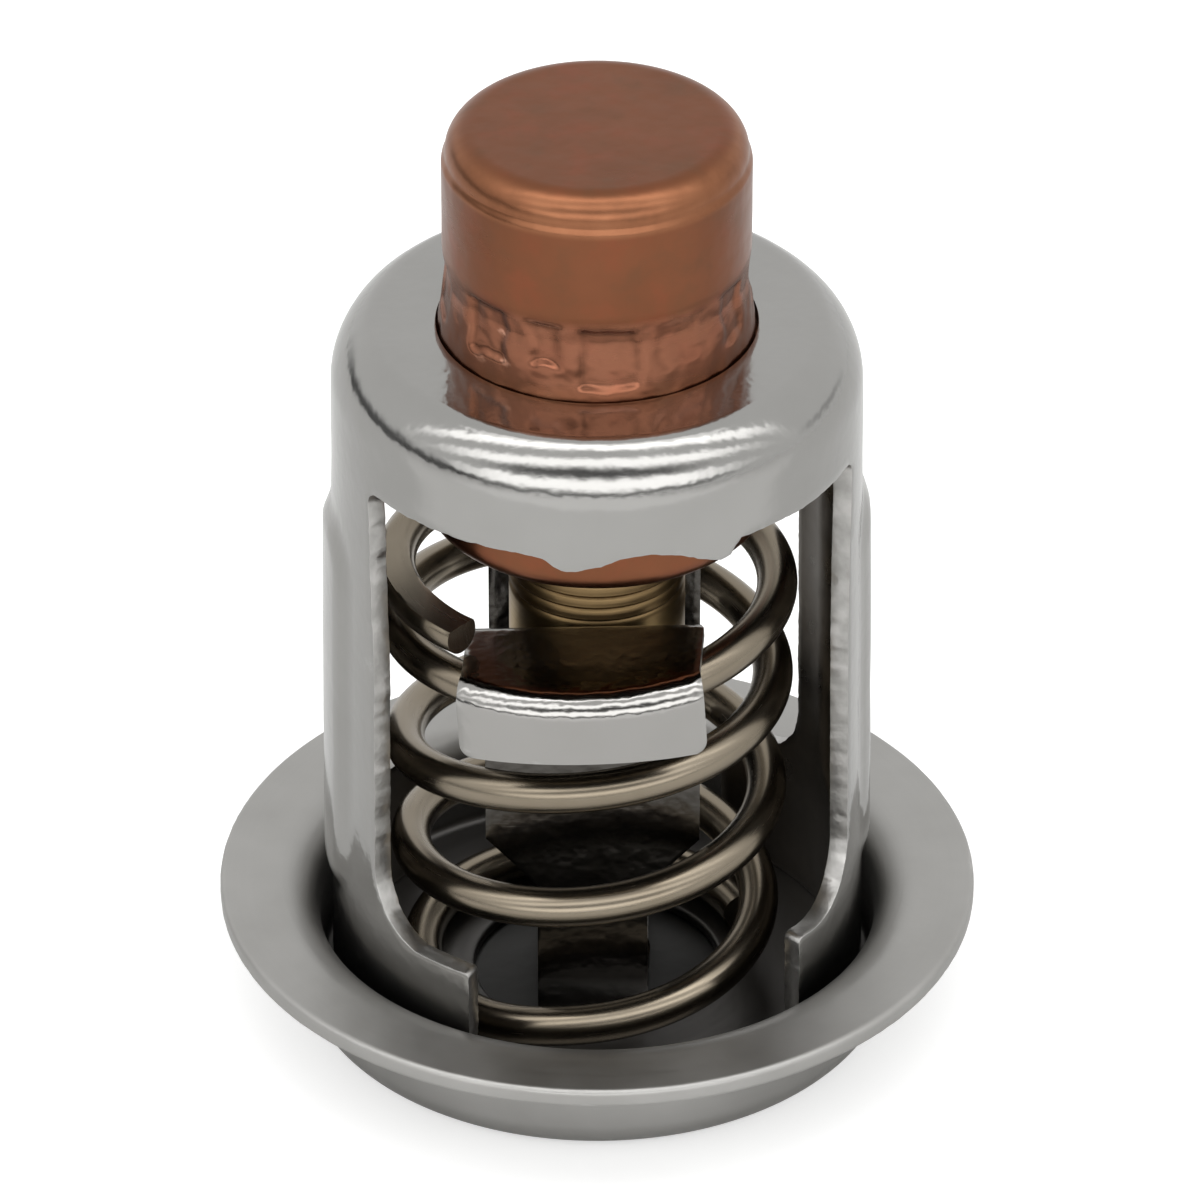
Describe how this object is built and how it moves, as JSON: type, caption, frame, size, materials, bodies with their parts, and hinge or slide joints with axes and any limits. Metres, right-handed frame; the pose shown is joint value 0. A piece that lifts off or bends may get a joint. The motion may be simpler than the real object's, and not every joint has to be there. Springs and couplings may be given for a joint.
{
  "type": "engine thermostat",
  "caption": "Flanged wax thermostat: copper capsule in a windowed steel cage over a sprung valve that opens downward through a round flange.",
  "frame": {"origin": "on the axis, in the plane of the flange's upper face", "axes": "+Z along the axis towards the closed end of the copper capsule, -Y towards the cage window with the unequal feet"},
  "size_m": [0.038, 0.038, 0.0501],
  "materials": {
    "stainless_satin": "satin",
    "stainless_polished": "polished",
    "copper": "drawn copper",
    "brass": "turned brass",
    "spring_steel": "warm grey wire",
    "pin_steel": "ground",
    "rubber": "matte",
    "hard_plastic": "matte",
    "wax": "waxy"
  },
  "bodies": {
    "housing": {"seat_flange": "stainless_satin", "cage": "stainless_polished", "capsule_cup": "copper", "wax_charge": "wax", "diaphragm": "rubber", "piston_guide": "brass", "return_spring": "spring_steel"},
    "valve": {"valve_carrier": "stainless_polished", "valve_disc": "stainless_satin", "rivet": "brass", "piston": "pin_steel", "sliding_disc": "hard_plastic", "rubber_plug": "rubber"}
  },
  "joints": [
    {"name": "valve_lift", "type": "slide", "parent": "housing", "child": "valve", "axis": [0, 0, -1], "range_m": [0, 0.007], "stiffness_N_per_m": 6800, "springref_m": -0.003, "deforming": ["return_spring"]}
  ]
}
